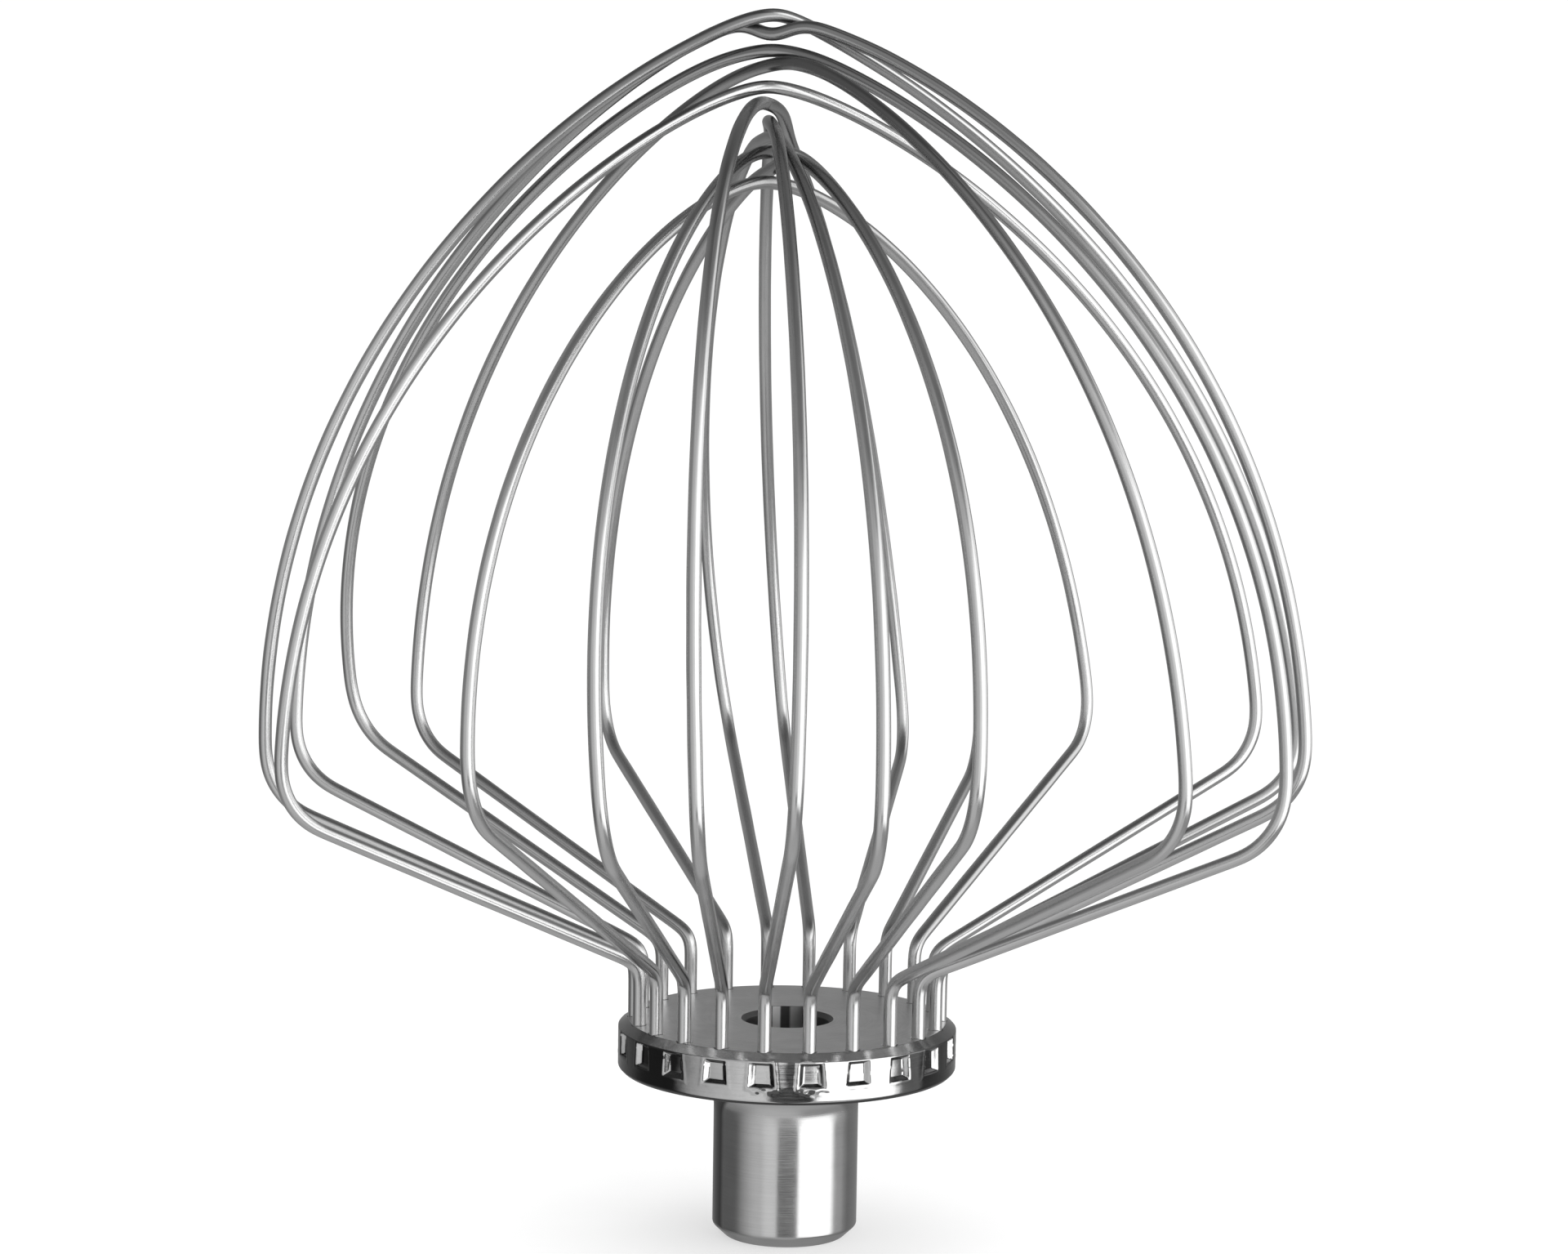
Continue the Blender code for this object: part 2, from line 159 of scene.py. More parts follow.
# --- wire centre lines --------------------------------------------------------------
def bend(before, corner, after, radius, steps=30):
    """An arc that rounds the corner, made smaller where the sides are too short for it."""
    back, ahead = before - corner, after - corner
    back_length, ahead_length = np.linalg.norm(back), np.linalg.norm(ahead)
    back, ahead = back / back_length, ahead / ahead_length
    half = np.arccos(np.clip(back @ ahead, -1, 1)) / 2
    reach = min(radius / np.tan(half), 0.9 * back_length, 0.9 * ahead_length)
    radius = reach * np.tan(half)
    centre = corner + unit(back + ahead) * radius / np.sin(half)
    first = (corner + back * reach - centre) / radius
    last = (corner + ahead * reach - centre) / radius
    turn = np.arccos(np.clip(first @ last, -1, 1))
    share = np.linspace(0, 1, steps)[:, None]
    spread = np.sin((1 - share) * turn) * first + np.sin(share * turn) * last
    return centre + radius * spread / np.sin(turn)


def cage_lean(points):
    """Tilts the points about the cage's pivot on the axis."""
    turn_y, turn_x = CAGE_LEAN_ABOUT_Y * DEG, CAGE_LEAN_ABOUT_X * DEG
    about_y = np.array([
        [np.cos(turn_y), 0, np.sin(turn_y)], [0, 1, 0], [-np.sin(turn_y), 0, np.cos(turn_y)]])
    about_x = np.array([
        [1, 0, 0], [0, np.cos(turn_x), np.sin(turn_x)], [0, -np.sin(turn_x), np.cos(turn_x)]])
    pivot = np.array([0, 0, CAGE_PIVOT_Z])
    return (points - pivot) @ (about_x @ about_y).T + pivot


def half_loop(hole, plane, crest, shift, dip, foot, blunt, lift, out):
    """From the socket up the leg, round the shoulder and along a cubic arch to the crest."""
    foot_z, foot_r = SHOULDER_Z + lift, SHOULDER_R + out
    height = crest - foot_z

    def arch_points(t):
        start, early = (1 - t) ** 3, 3 * (1 - t) ** 2 * t
        late, end = 3 * (1 - t) * t * t, t ** 3
        r = (start * foot_r + early * (foot_r + ARCH_LEAN)
             + late * (shift + blunt * foot_r) + end * shift)
        z = (early * ARCH_BELLY + late + end) * height
        azimuth = plane + (foot - plane) * np.exp(-z / LEG_TWIST_FALL)
        z = z - dip * np.exp(-((r / DIP_WIDTH) ** 2) / 2)
        x, y = r * np.sin(azimuth * DEG), -r * np.cos(azimuth * DEG)
        return z, cage_lean(np.stack([x, y, z + foot_z], -1))

    z, coarse = arch_points(np.linspace(0, 1, 90))
    shoulder = coarse[0]
    rise = coarse[min(max(np.searchsorted(z, SHOULDER_RISE), 1), 36)] - shoulder
    arch = arch_points(np.linspace(0, 1, 300))[1]
    socket, top = polar(HOLE_CIRCLE_R, hole, LEG_BOTTOM_Z), polar(HOLE_CIRCLE_R, hole, LEG_TOP_Z)
    lower = bend(socket, top, shoulder, LEG_BEND_R)
    upper = bend(top, shoulder, shoulder + unit(rise) * 40, SHOULDER_BEND_R)
    bend_reach = np.linalg.norm(upper[-1] - shoulder)
    beyond = np.linalg.norm(arch - shoulder, axis=1) > bend_reach + 0.5
    return np.vstack([socket, lower, upper, arch[beyond]])


def along(points):
    """The length of the line up to each of its points."""
    return np.r_[0, np.cumsum(np.linalg.norm(np.diff(points, axis=0), axis=1))]


def evenly(points, count):
    lengths = along(points)
    places = np.linspace(0, lengths[-1], count)
    return np.stack([np.interp(places, lengths, points[:, k]) for k in range(3)], -1)


def centre_lines():
    lines = []
    for hole, plane, crest, shift, bow, dip, first, opposite in LOOPS:
        near = half_loop(hole, plane + bow, crest, shift, dip, *first)
        foot, *arch = opposite
        far = half_loop(hole + 180, plane - bow + 180, crest, -shift, dip, foot + 180, *arch)
        lines.append(evenly(np.vstack([near, far[-2::-1]]), ROUGH_POINTS))
    return lines


def make_room(lines):
    """Pushes crossing wires apart, round after round, until the gap is kept everywhere."""
    stations = [along(line) for line in lines]

    def give_way(i, at):
        return np.exp(-((stations[i] - stations[i][at]) / CROSSING_SOFT) ** 2 / 2)[:, None]

    for _ in range(CROSSING_ROUNDS):
        closest = CROSSING_GAP
        for i, one in enumerate(lines):
            for j in range(i + 1, len(lines)):
                other = lines[j]
                one_high = np.where(one[:, 2] > CROSSING_LOW_Z)[0]
                other_high = np.where(other[:, 2] > CROSSING_LOW_Z)[0]
                square = ((one[one_high][:, None] - other[other_high][None]) ** 2).sum(2)
                row, column = np.unravel_index(square.argmin(), square.shape)
                distance = np.sqrt(square[row, column])
                one_at, other_at = one_high[row], other_high[column]
                closest = min(closest, distance)
                if distance >= CROSSING_GAP:
                    continue
                away = (one[one_at] - other[other_at]) / max(distance, 1e-6)
                if distance < 0.3:
                    # too close for a steady direction, so they part up and down
                    above = one[one_at, 2] >= other[other_at, 2]
                    away = np.array([0, 0, 1.0 if above else -1.0])
                push = away * (CROSSING_GAP - distance) * CROSSING_PUSH
                one += push * give_way(i, one_at)
                other -= push * give_way(j, other_at)
        if closest > CROSSING_GAP - 0.02:
            break
    return lines


def smoothed(line):
    """A light blur along the line, which leaves its ends in place."""
    step = along(line)[-1] / (len(line) - 1)
    reach = int(np.ceil(3 * LINE_BLUR / step))
    kernel = np.exp(-((np.arange(-reach, reach + 1) * step / LINE_BLUR) ** 2) / 2)
    kernel /= kernel.sum()
    before = 2 * line[0] - line[reach:0:-1]
    after = 2 * line[-1] - line[-2:-reach - 2:-1]
    longer = np.vstack([before, line, after])
    return np.stack([np.convolve(longer[:, k], kernel, mode="valid") for k in range(3)], -1)


# --- meshes ---------------------------------------------------------------------------
def mesh_object(name, points_mm, faces, surface=None, attributes=None):
    mesh = bpy.data.meshes.new(name)
    mesh.from_pydata((np.asarray(points_mm, float) * MM).tolist(), [], faces)
    mesh.update()
    mesh.polygons.foreach_set("use_smooth", [True] * len(mesh.polygons))
    for key, values in (attributes or {}).items():
        attribute = mesh.attributes.new(key, "FLOAT", "POINT")
        attribute.data.foreach_set("value", np.asarray(values, np.float32))
    made = bpy.data.objects.new(name, mesh)
    bpy.context.scene.collection.objects.link(made)
    if surface is not None:
        mesh.materials.append(surface)
    return made


def tube_faces(rings, sides):
    """Faces of stacked rings of points: the bottom cap, the walls, the top cap."""
    faces = [tuple(reversed(range(sides)))]
    for k in range(rings - 1):
        low, high = k * sides, (k + 1) * sides
        for n in range(sides):
            m = (n + 1) % sides
            faces.append((low + n, low + m, high + m, high + n))
    faces.append(tuple((rings - 1) * sides + n for n in range(sides)))
    return faces


def sweep_wire(name, line, surface, seed):
    """A round wire with softened ends. It stores where along and around it each point is."""
    random = np.random.default_rng(seed)
    lengths = along(line)
    step = np.gradient(line, axis=0)
    tangent = step / np.linalg.norm(step, axis=1)[:, None]
    # a drawn wire is round within a few hundredths: wavelength, phase and size of its wander
    waves = [(random.uniform(9, 40), random.uniform(0, 6.28), random.uniform(0.002, 0.006))
             for _ in range(5)]
    angles = 2 * np.pi * np.arange(WIRE_SIDES) / WIRE_SIDES
    side = unit(np.cross(tangent[0], [0.3, 1.0, 0.2]))
    sides = []
    for k in range(len(line)):
        side = unit(side - tangent[k] * (side @ tangent[k]))
        sides.append(side)
    sides = np.array(sides)
    others = np.cross(tangent, sides)
    radius = np.full(len(line), WIRE_R)
    for length, phase, size in waves:
        radius += size * np.sin(2 * np.pi * lengths / length + phase)

    def ring(centre, ring_r, k):
        return centre + ring_r * (
            np.cos(angles)[:, None] * sides[k] + np.sin(angles)[:, None] * others[k])

    rows = [ring(line[k], radius[k], k) for k in range(len(line))]
    stations = list(lengths)
    for past, ring_r in WIRE_END_RINGS:
        rows = [ring(line[0] - tangent[0] * past, ring_r, 0), *rows,
                ring(line[-1] + tangent[-1] * past, ring_r, -1)]
        stations = [-past, *stations, lengths[-1] + past]
    return mesh_object(name, np.vstack(rows), tube_faces(len(rows), WIRE_SIDES), surface, {
        "wire_along": np.repeat(stations, WIRE_SIDES),
        "wire_turn_x": np.tile(np.cos(angles), len(rows)),
        "wire_turn_y": np.tile(np.sin(angles), len(rows)),
    })


def rounded(profile, steps=5):
    """A closed outline of (r, z, corner radius) with its corners rounded."""
    points = []
    for i, (r, z, radius) in enumerate(profile):
        if radius <= 0:
            points.append((r, z))
            continue
        before = np.array([*profile[i - 1][:2], 0.0])
        after = np.array([*profile[(i + 1) % len(profile)][:2], 0.0])
        arc = bend(before, np.array([r, z, 0.0]), after, radius, steps)
        points += [(point[0], point[1]) for point in arc]
    return points


def split_long(points, longest, where=lambda start, end: True):
    """The closed outline with extra points on every chosen stretch longer than this."""
    made = []
    for i, start in enumerate(points):
        end = points[(i + 1) % len(points)]
        made.append(start)
        across, rise = end[0] - start[0], end[1] - start[1]
        parts = int(np.ceil(np.hypot(across, rise) / longest)) if where(start, end) else 1
        made += [(start[0] + across * k / parts, start[1] + rise * k / parts)
                 for k in range(1, parts)]
    return made


def revolve(profile, columns):
    """Points of the outline turned round the axis (column by column), and their faces."""
    outline = np.array(profile, float)
    azimuth = 2 * np.pi * np.arange(columns) / columns
    r, z = outline[:, 0], outline[:, 1]
    count = len(profile)
    points = np.stack([
        np.sin(azimuth)[:, None] * r,
        -np.cos(azimuth)[:, None] * r,
        np.broadcast_to(z, (columns, count)),
    ], -1)
    i = np.arange(count)
    j = (i + 1) % count
    faces = []
    for k in range(columns):
        here, following = k * count, (k + 1) % columns * count
        faces += np.stack([here + i, following + i, following + j, here + j], -1).tolist()
    return points, faces


def socket_cutters():
    """One object with a turned cutter at every wire hole, flared where the hole opens."""
    stations = (
        (SOCKET_R, LEG_BOTTOM_Z - 0.3),
        (SOCKET_R, DISC_TOP_Z - 0.14),
        (SOCKET_MOUTH_R, DISC_TOP_Z + 0.02),
        (SOCKET_MOUTH_R, DISC_TOP_Z + CUT_MARGIN),
    )
    angles = 2 * np.pi * (np.arange(SOCKET_SIDES) + 0.5) / SOCKET_SIDES
    points, faces = [], []
    for k in range(HOLE_COUNT):
        x, y, _ = polar(HOLE_CIRCLE_R, 360 * (k + 0.5) / HOLE_COUNT, 0)
        start = len(points)
        points += [(x + radius * np.cos(angle), y + radius * np.sin(angle), z)
                   for radius, z in stations for angle in angles]
        faces += [tuple(start + corner for corner in face)
                  for face in tube_faces(len(stations), SOCKET_SIDES)]
    return mesh_object("sockets", points, faces)


def prism(name, outline, low, high):
    points = [(x, y, z) for z in (low, high) for x, y in outline]
    bottom, *walls, top = tube_faces(2, len(outline))
    return mesh_object(name, points, [bottom, top, *walls])


def keyway_cutter(low, high):
    """A slot on the +Y side of the bore."""
    half = KEYWAY_WIDTH / 2
    outline = [(-half, 0), (half, 0), (half, KEYWAY_R), (-half, KEYWAY_R)]
    return prism("keyway", outline, low - CUT_MARGIN, high + CUT_MARGIN)


def carve(target, cutters):
    """Cuts with each cutter, keeps the result as plain mesh, and removes the cutters."""
    for cutter in cutters:
        modifier = target.modifiers.new("cut", "BOOLEAN")
        modifier.operation = "DIFFERENCE"
        modifier.solver = "MANIFOLD"
        modifier.object = cutter
    bpy.context.view_layer.update()
    graph = bpy.context.evaluated_depsgraph_get()
    mesh = bpy.data.meshes.new_from_object(target.evaluated_get(graph))
    target.modifiers.clear()
    old = target.data
    mesh.name = target.name
    target.data = mesh
    bpy.data.meshes.remove(old)
    for cutter in cutters:
        shape = cutter.data
        bpy.data.objects.remove(cutter)
        bpy.data.meshes.remove(shape)
    mesh.polygons.foreach_set("use_smooth", [True] * len(mesh.polygons))
    mesh.set_sharp_from_angle(angle=38 * DEG)
    mesh.update()


def wrapped(angle):
    return np.mod(angle + np.pi, 2 * np.pi) - np.pi


def stake_marks(azimuth, z):
    """How far the rim is pressed in (negative) or raised at each azimuth (radians) and height."""
    random = np.random.default_rng(STAKE_SEED)
    offset = np.zeros(np.broadcast(azimuth, z).shape)
    for k in range(HOLE_COUNT):
        centre = 2 * np.pi * (k + 0.5) / HOLE_COUNT
        across = wrapped(azimuth - centre) * DISC_R
        across = across - random.uniform(-0.12, 0.12) + random.uniform(-0.03, 0.03) * (z - 30)
        height = z + random.uniform(-0.10, 0.10)
        depth = STAKE_DEPTH * random.uniform(0.85, 1.0)
        taper = 1 - 0.045 * (height - 30)
        mouth = STAKE_WIDTH / 2 * taper
        slope = mouth - STAKE_FLOOR_WIDTH / 2 * taper
        left = (across + mouth) / slope
        right = (mouth - across) / slope
        under_top, over_bottom = STAKE_TOP_Z - height, height - STAKE_BOTTOM_Z
        top = under_top / random.uniform(0.45, 0.7)
        bottom = over_bottom / random.uniform(0.35, 0.9)
        inside = np.minimum(np.minimum(left, right), np.minimum(top, bottom))
        inside = np.clip(inside, 0, 1)
        inside = inside + 0.10 * np.sin(inside * np.pi) * (2 * inside - 1)
        # metal pushed up round the mouth and below it, most of all at the front
        edge = np.minimum(np.minimum(left * slope, right * slope),
                          np.minimum(under_top, over_bottom))
        front = np.exp(-(wrapped(centre) / (12 * DEG)) ** 2)
        lip = (0.035 + 0.12 * front) * np.exp(-((edge + 0.28) / 0.26) ** 2)
        rough = 0.5 + 0.5 * np.sin(across * 3.1 + k) * np.cos(height * 4.3 + 2 * k)
        below = (smoothstep((STAKE_BOTTOM_Z - height) / 0.25)
                 * smoothstep((height - STAKE_BOTTOM_Z + 1.5) / 1.0))
        burr = front * 0.22 * below * np.exp(-(across / 1.9) ** 4) * rough
        mark = -depth * inside + lip * (0.6 + 0.4 * rough) + burr
        offset = offset + np.where(np.abs(across) < 4.5, mark, 0.0)
    return offset


def build_flange(surface):
    """The disc that holds the wires, with a stake mark pressed into its rim at each hole."""
    profile = rounded([
        (BORE_R + BORE_EDGE, DISC_TOP_Z, 0.12),
        (BORE_R, DISC_TOP_Z - BORE_EDGE, 0.12),
        (BORE_R, SEAT_TOP_Z, 0.05),
        (SEAT_R, SEAT_TOP_Z, 0.05),
        (SEAT_R, DISC_BOTTOM_Z, 0.08),
        (DISC_R - DISC_BOTTOM_CHAMFER, DISC_BOTTOM_Z, 0.25),
        (DISC_R, DISC_BOTTOM_Z + DISC_BOTTOM_CHAMFER, 0.45),
        (DISC_R, DISC_CHAMFER_Z, 0.3),
        (DISC_FLAT_R, DISC_TOP_Z, 0.2),
    ])

    def on_rim(start, end):
        return min(start[0], end[0]) > DISC_FLAT_R - 0.5 and min(start[1], end[1]) > 26.05

    points, faces = revolve(split_long(profile, 0.13, on_rim), DISC_COLUMNS)
    azimuth = 2 * np.pi * np.arange(DISC_COLUMNS)[:, None] / DISC_COLUMNS
    r = np.hypot(points[..., 0], points[..., 1])
    z = points[..., 2]
    wall = smoothstep((r - (DISC_FLAT_R + 0.4)) / 0.9) * smoothstep((z - 26.1) / 0.4)
    moved = r + stake_marks(azimuth, z) * wall
    # turning leaves the rim round only to a few hundredths
    moved += 0.012 * wall * np.sin(7 * azimuth + 1.0) + 0.008 * wall * np.sin(13 * azimuth)
    scale = moved / r
    points[..., 0] *= scale
    points[..., 1] *= scale
    disc = mesh_object("holder_flange_look", points.reshape(-1, 3), faces, surface)
    carve(disc, [socket_cutters(), keyway_cutter(SEAT_TOP_Z, DISC_TOP_Z)])
    return disc


def build_hub(surface):
    """The sleeve below the flange: flared to a collar, with a spigot up into the seat."""
    flare = [
        (HUB_R + FLARE_R - FLARE_R * np.cos(a * DEG), FLARE_START_Z + FLARE_R * np.sin(a * DEG), 0)
        for a in np.linspace(0, FLARE_ANGLE, 16)
    ]
    profile = rounded([
        (BORE_R + BORE_EDGE, 0.0, 0.15),
        (HUB_END_R, 0.0, 0.5),
        (HUB_R, HUB_END_CHAMFER_Z, 0.7),
        *flare,
        (COLLAR_R, flare[-1][1] + 0.12, 0.0),
        (COLLAR_R, COLLAR_TOP_Z, 0.1),
        (SPIGOT_R, COLLAR_TOP_Z, 0.05),
        (SPIGOT_R, SPIGOT_TOP_Z, 0.05),
        (BORE_R, SPIGOT_TOP_Z, 0.05),
        (BORE_R, BORE_EDGE, 0.15),
    ], steps=6)
    points, faces = revolve(split_long(profile, 0.8), HUB_COLUMNS)
    hub = mesh_object("hub_sleeve_look", points.reshape(-1, 3), faces, surface)
    # the pocket widens the keyway towards +X part of the way up the bore
    sector = [(0.0, 0.0)] + [
        (KEYWAY_R * np.sin(a * DEG), KEYWAY_R * np.cos(a * DEG))
        for a in np.linspace(POCKET_ANGLE, 0, 24)
    ]
    carve(hub, [keyway_cutter(0, SPIGOT_TOP_Z), prism("pocket", sector, *POCKET_Z)])
    return hub


# --- materials ------------------------------------------------------------------------
class Nodes:
    """A short way to write node graphs. Inputs are sockets to link or values to set."""

    def __init__(self, tree):
        self.tree = tree

    def connect(self, node, inputs):
        for key, value in inputs.items():
            if isinstance(value, bpy.types.NodeSocket):
                self.tree.links.new(value, node.inputs[key])
            else:
                node.inputs[key].default_value = value

    def add(self, kind, inputs=None, **settings):
        node = self.tree.nodes.new(kind)
        for key, value in settings.items():
            setattr(node, key, value)
        self.connect(node, inputs or {})
        return node

    def math(self, operation, first, second=0.0, clamp=False):
        inputs = {0: first, 1: second, 2: 0.0}
        return self.add("ShaderNodeMath", inputs, operation=operation, use_clamp=clamp).outputs[0]

    def plus(self, first, second):
        return self.math("ADD", first, second)

    def minus(self, first, second):
        return self.math("SUBTRACT", first, second)

    def times(self, *factors):
        return reduce(lambda first, second: self.math("MULTIPLY", first, second), factors)

    def above(self, value, limit):
        return self.math("GREATER_THAN", value, limit)

    def below(self, value, limit):
        return self.math("LESS_THAN", value, limit)

    def masked(self, mask, value):
        """The value inside the mask and 1 outside it."""
        return self.plus(self.times(mask, value), self.minus(1.0, mask))

    def fade(self, value, start, end, low=0.0, high=1.0):
        """A smooth change from low to high as the value goes from start to end."""
        return self.add("ShaderNodeMapRange", {
            "Value": value, "From Min": start, "From Max": end, "To Min": low, "To Max": high,
        }, interpolation_type="SMOOTHSTEP").outputs[0]

    def coord(self, kind):
        return self.add("ShaderNodeTexCoord").outputs[kind]

    def attribute(self, name):
        return self.add("ShaderNodeAttribute", attribute_name=name).outputs["Fac"]

    def split(self, vector):
        return self.add("ShaderNodeSeparateXYZ", {0: vector}).outputs

    def vector(self, x, y, z):
        return self.add("ShaderNodeCombineXYZ", {0: x, 1: y, 2: z}).outputs[0]

    def azimuth(self, x, y):
        """In radians."""
        return self.math("ARCTAN2", x, self.times(y, -1.0))

    def noise(self, vector, **inputs):
        return self.add("ShaderNodeTexNoise", {"Vector": vector, **inputs}).outputs["Fac"]

    def bump(self, height, **inputs):
        return self.add("ShaderNodeBump", {"Height": height, **inputs}).outputs[0]

    def ramp(self, fac, stops):
        """Greys at rising positions."""
        node = self.add("ShaderNodeValToRGB", {"Fac": fac})
        elements = node.color_ramp.elements
        while len(elements) < len(stops):
            elements.new(0.5)
        for element, (position, grey) in zip(elements, stops):
            element.position = position
            element.color = (grey, grey, grey, 1)
        return node.outputs["Color"]

    def mix(self, factor, first, second, blend="MIX"):
        inputs = {0: factor, 6: first, 7: second}
        return self.add("ShaderNodeMix", inputs, data_type="RGBA", blend_type=blend).outputs[2]

    def darkened(self, colour, factor):
        return self.mix(1.0, colour, factor, blend="MULTIPLY")

    def reflection(self):
        """The azimuth in degrees, and the upward part, of what the surface mirrors."""
        x, y, z = self.split(self.coord("Reflection"))
        return self.times(self.azimuth(x, y), 1 / DEG), z


def new_material(name, metallic):
    made = bpy.data.materials.new(name)
    made.use_nodes = True
    shader = made.node_tree.nodes["Principled BSDF"]
    shader.inputs["Metallic"].default_value = metallic
    return made, Nodes(made.node_tree), shader


def wire_material(name, number):
    """Drawn and polished wire: fine lines along it, a few dull patches, faint waves. Painted shade
    darkens its base colour at the crest and on the upward faces of the flared legs.
    """
    made, nodes, shader = new_material(name, metallic=1.0)
    station = nodes.attribute("wire_along")
    turn_x, turn_y = nodes.attribute("wire_turn_x"), nodes.attribute("wire_turn_y")
    # the loop's number shifts the noise, so no two wires look alike
    drawn = nodes.vector(
        x=nodes.times(turn_x, 3.0), y=nodes.times(turn_y, 3.0),
        z=nodes.plus(nodes.times(station, 0.006), number * 7.3))
    lines = nodes.noise(drawn, Scale=4.0, Detail=2.0, Roughness=0.5)
    slow = nodes.vector(
        x=turn_x, y=turn_y, z=nodes.plus(nodes.times(station, 0.16), number * 3.1))
    patches = nodes.noise(slow, Scale=1.0, Detail=3.0)
    tone = nodes.plus(nodes.times(lines, 0.10), nodes.times(patches, 0.12))
    # painted shade: the base colour is darkened at the crest by the direction it mirrors, because
    # the crest stands above the soft boxes and mirrors less of them than the legs do
    mirrored, up = nodes.reflection()
    z = nodes.split(nodes.coord("Object"))[2]
    crest = nodes.fade(z, start=0.130, end=0.170)
    box = nodes.times(nodes.fade(mirrored, start=26.0, end=38.0),
                      nodes.fade(mirrored, start=140.0, end=118.0))
    painted_crest_shade = nodes.minus(nodes.fade(up, start=-0.45, end=0.20, low=0.30, high=0.66),
                       nodes.times(box, 0.62))
    shade = nodes.minus(1.0, nodes.times(crest, nodes.math("MAXIMUM", painted_crest_shade, 0.0)))
    # painted reflection: the base colour of the flared legs is darkened where they face upwards,
    # standing in for the dark inside of the cage that they mirror
    flared = nodes.times(nodes.fade(z, start=0.071, end=0.064),
                         nodes.fade(up, start=0.25, end=0.75, high=0.42))
    shade = nodes.times(shade, nodes.minus(1.0, flared))
    height = nodes.plus(nodes.times(lines, 0.35), nodes.times(patches, 1.0))
    nodes.connect(shader, {
        "Base Color": nodes.darkened(nodes.ramp(tone, [(0.05, 0.58), (0.18, 0.72)]), shade),
        "Roughness": nodes.plus(0.17, nodes.times(patches, 0.12)),
        "Normal": nodes.bump(height, Strength=0.035, Distance=0.0001),
    })
    return made


def disc_material(name):
    """Satin top with faint turning marks, and a brighter rim, with painted reflections on the
    front of the rim, the chamfer and the bore.
    """
    made, nodes, shader = new_material(name, metallic=1.0)
    coord = nodes.coord("Object")
    x, y, z = nodes.split(coord)
    radius = nodes.math("SQRT", nodes.plus(nodes.times(x, x), nodes.times(y, y)))
    azimuth = nodes.azimuth(x, y)
    facing_up = nodes.split(nodes.add("ShaderNodeNewGeometry").outputs["Normal"])[2]
    is_top = nodes.times(nodes.above(facing_up, 0.93), nodes.above(z, 0.0325))

    # turning marks are fine across the cut and long round the axis
    turned = nodes.vector(
        x=nodes.times(radius, 3000.0), y=nodes.times(azimuth, 1.5), z=nodes.times(z, 3000.0))
    marks = nodes.noise(turned, Scale=1.0, Detail=4.0, Roughness=0.6)
    blotch = nodes.noise(coord, Scale=260.0, Detail=4.0, Roughness=0.6)
    fine = nodes.noise(coord, Scale=1500.0, Detail=3.0)

    def blended_tone(marks_share, blotch_share, dark):
        blend = nodes.plus(nodes.times(marks, marks_share), nodes.times(blotch, blotch_share))
        return nodes.ramp(blend, [(0.3, dark), (0.7, 0.70)])

    top_tone = blended_tone(marks_share=0.4, blotch_share=0.6, dark=0.52)
    rim_tone = blended_tone(marks_share=0.3, blotch_share=0.7, dark=0.58)

    # painted reflection: the base colour of the front of the rim is darkened by the direction it
    # mirrors, standing in for black cards at the left and right and the camera in front; the rim
    # is low on the table and mirrors these, while the wires stand clear of them
    mirrored, up = nodes.reflection()
    wander = nodes.times(nodes.minus(blotch, 0.5), 14.0)
    swayed = nodes.plus(mirrored, wander)
    painted_left_card = nodes.fade(swayed, start=-84.0, end=-66.0, low=0.10)
    painted_right_card = nodes.times(nodes.fade(swayed, start=78.0, end=86.0, low=1.0, high=0.32),
                             nodes.fade(swayed, start=100.0, end=107.0, low=1.0, high=0.3))
    reach = nodes.fade(z, start=0.0276, end=0.0286, low=15.0, high=4.2)
    off_centre = nodes.math("ABSOLUTE", nodes.minus(swayed, 4.0))
    painted_camera_patch = nodes.fade(nodes.minus(off_centre, reach), start=-2.5, end=2.0, low=0.2)
    painted_reflections = nodes.times(painted_left_card, painted_right_card, painted_camera_patch)
    is_rim = nodes.times(nodes.above(radius, 0.0235), nodes.below(z, 0.03215))
    is_rim_front = nodes.times(is_rim, nodes.fade(y, start=0.0, end=0.004, low=1.0, high=0.0))
    painted_reflections = nodes.masked(is_rim_front, painted_reflections)

    # the chamfer between rim and top, with painted shade: its base colour darkens as the direction
    # it mirrors leans down from straight up
    neither = nodes.minus(nodes.minus(1.0, is_rim), is_top)
    is_edge = nodes.times(nodes.above(radius, 0.0235), neither, nodes.above(z, 0.032))
    painted_chamfer_shade = nodes.fade(nodes.plus(up, nodes.times(wander, 0.02)),
                           start=0.58, end=0.84, low=0.30, high=1.05)
    painted_reflections = nodes.times(painted_reflections, nodes.masked(is_edge, painted_chamfer_shade))

    # painted light and shade: light and dark bands from left to right across the bore, standing in
    # for light that falls into it from above
    in_bore = nodes.times(nodes.below(radius, 0.0088), nodes.below(z, 0.0332))
    bore_x = nodes.add("ShaderNodeMapRange", {
        "Value": x, "From Min": -0.0030, "From Max": 0.0030}).outputs[0]
    painted_bore_bands = nodes.ramp(bore_x, [
        (0.08, 0.12), (0.10, 1.0), (0.30, 1.0), (0.34, 0.10),
        (0.54, 0.08), (0.60, 0.50), (0.90, 0.30), (0.92, 0.12),
    ])
    tone = nodes.mix(in_bore, nodes.mix(is_top, rim_tone, top_tone), painted_bore_bands)

    rim_rough = nodes.plus(0.10, nodes.times(blotch, 0.10))
    top_rough = nodes.plus(0.26, nodes.times(blotch, 0.12))
    rough = nodes.plus(nodes.times(is_top, top_rough),
                       nodes.times(nodes.minus(1.0, is_top), rim_rough))
    height = nodes.plus(nodes.times(marks, 0.5),
                        nodes.plus(nodes.times(blotch, 1.0), nodes.times(fine, 0.15)))
    nodes.connect(shader, {
        "Base Color": nodes.darkened(tone, painted_reflections),
        "Roughness": nodes.math("MAXIMUM", rough, nodes.times(in_bore, 0.5)),
        "Normal": nodes.bump(height, Strength=0.16, Distance=0.0002),
    })
    return made


